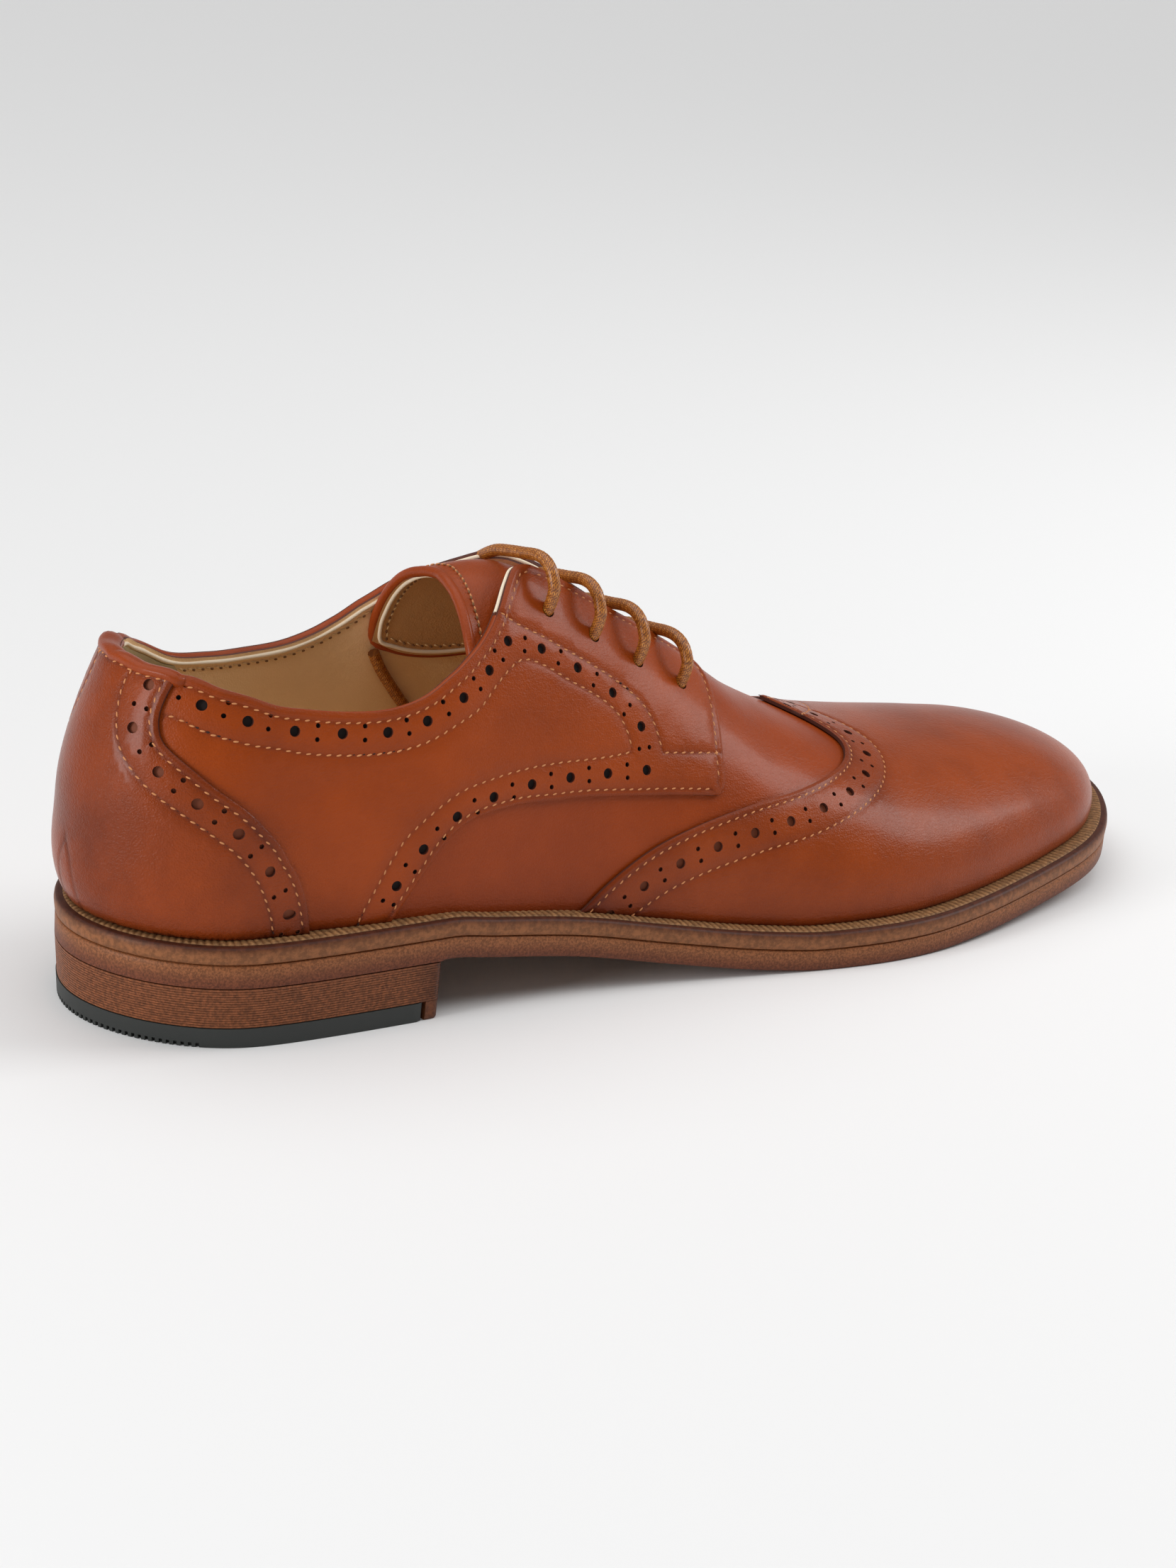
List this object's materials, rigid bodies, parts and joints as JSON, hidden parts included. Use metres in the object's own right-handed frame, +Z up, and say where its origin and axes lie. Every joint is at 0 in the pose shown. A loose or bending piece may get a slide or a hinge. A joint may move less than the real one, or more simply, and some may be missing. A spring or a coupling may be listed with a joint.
{
  "type": "brogue shoe",
  "caption": "Open-laced full brogue dress shoe with wing tip, heel counter, perforated bands, straight lacing and a stacked heel",
  "frame": {"origin": "on the floor, at the middle of the shoe's box", "axes": "+X to the toe, +Y to the inner side of the foot, +Z up"},
  "size_m": [0.3054, 0.1056, 0.1017],
  "materials": {
    "tan_leather": "smooth calf, satin polish",
    "quarter_leather": "smooth calf, satin polish",
    "burnished_leather": "burnished calf, satin polish",
    "tongue_leather": "smooth calf with tan lining",
    "lining_leather": "matt tan lining",
    "welt_leather": "ribbed, waxed edge",
    "sole_leather": "speckled, waxed edge",
    "heel_leather": "stacked lifts, waxed edge",
    "heel_rubber": "matt, fine notches",
    "waxed_cotton": "round waxed lace"
  },
  "bodies": {
    "root": {"upper": "tan_leather", "quarter_outer": "quarter_leather", "quarter_inner": "quarter_leather", "heel_counter": "burnished_leather", "toe_wing": "burnished_leather", "tongue": "tongue_leather", "insole": "lining_leather", "welt": "welt_leather", "outsole": "sole_leather", "heel_stack": "heel_leather", "heel_top_piece": "heel_rubber", "lace_bar_1": "waxed_cotton", "lace_bar_2": "waxed_cotton", "lace_bar_3": "waxed_cotton", "lace_bar_4": "waxed_cotton", "lace_end": "waxed_cotton"}
  },
  "joints": []
}
